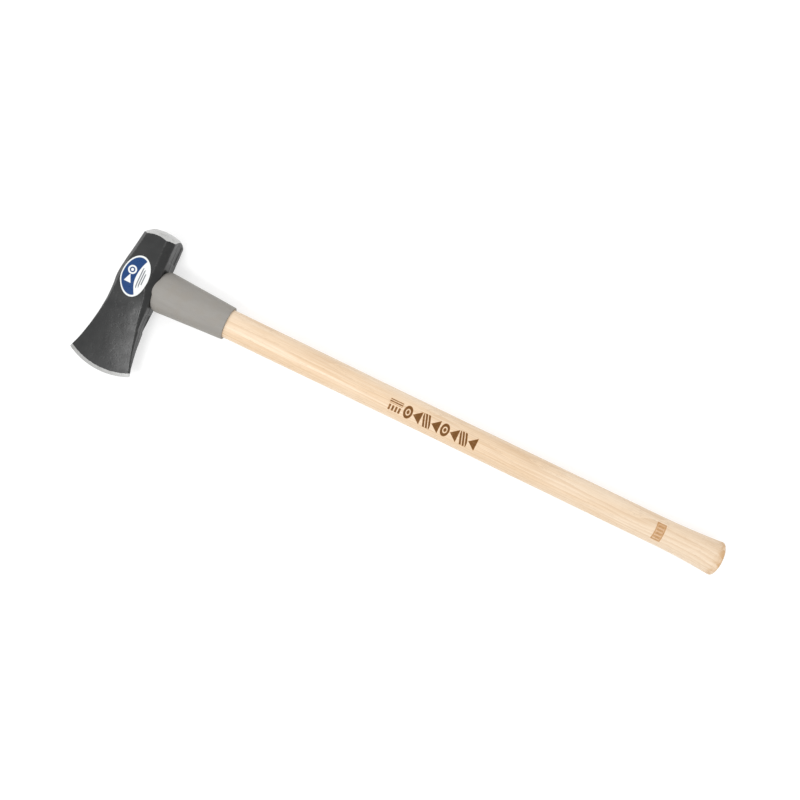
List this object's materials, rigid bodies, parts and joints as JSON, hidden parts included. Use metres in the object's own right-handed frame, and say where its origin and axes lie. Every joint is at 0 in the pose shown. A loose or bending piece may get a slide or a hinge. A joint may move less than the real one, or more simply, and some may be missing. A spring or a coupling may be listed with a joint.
{
  "type": "splitting maul",
  "caption": "Splitting maul: octagonal forged wedge head with a crowned poll, wedged on a long straight oval wooden handle, with a grey overstrike sleeve below the head.",
  "frame": {"origin": "middle of the tool's footprint, on the plane of the lower cheek, as it lies on one cheek", "axes": "+X along the handle from the head to the butt, +Y from the cutting edge to the poll, +Z square to the cheeks, towards the labelled one"},
  "size_m": [0.925, 0.2104, 0.0562],
  "materials": {
    "painted_forging": "black satin paint on a forging, bare ground steel at the cutting edge and the poll face",
    "hickory": "pale straight-grained hickory under clear lacquer",
    "wedge_wood": "plain sawn hardwood",
    "wedge_steel": "dull sheared steel",
    "guard_plastic": "matt warm grey moulded sleeve",
    "label_vinyl": "printed blue and white vinyl"
  },
  "bodies": {
    "root": {"head": "painted_forging", "handle": "hickory", "wood_wedge": "wedge_wood", "steel_wedge_poll_side": "wedge_steel", "steel_wedge_edge_side": "wedge_steel", "overstrike_guard": "guard_plastic", "head_label": "label_vinyl"}
  },
  "joints": []
}
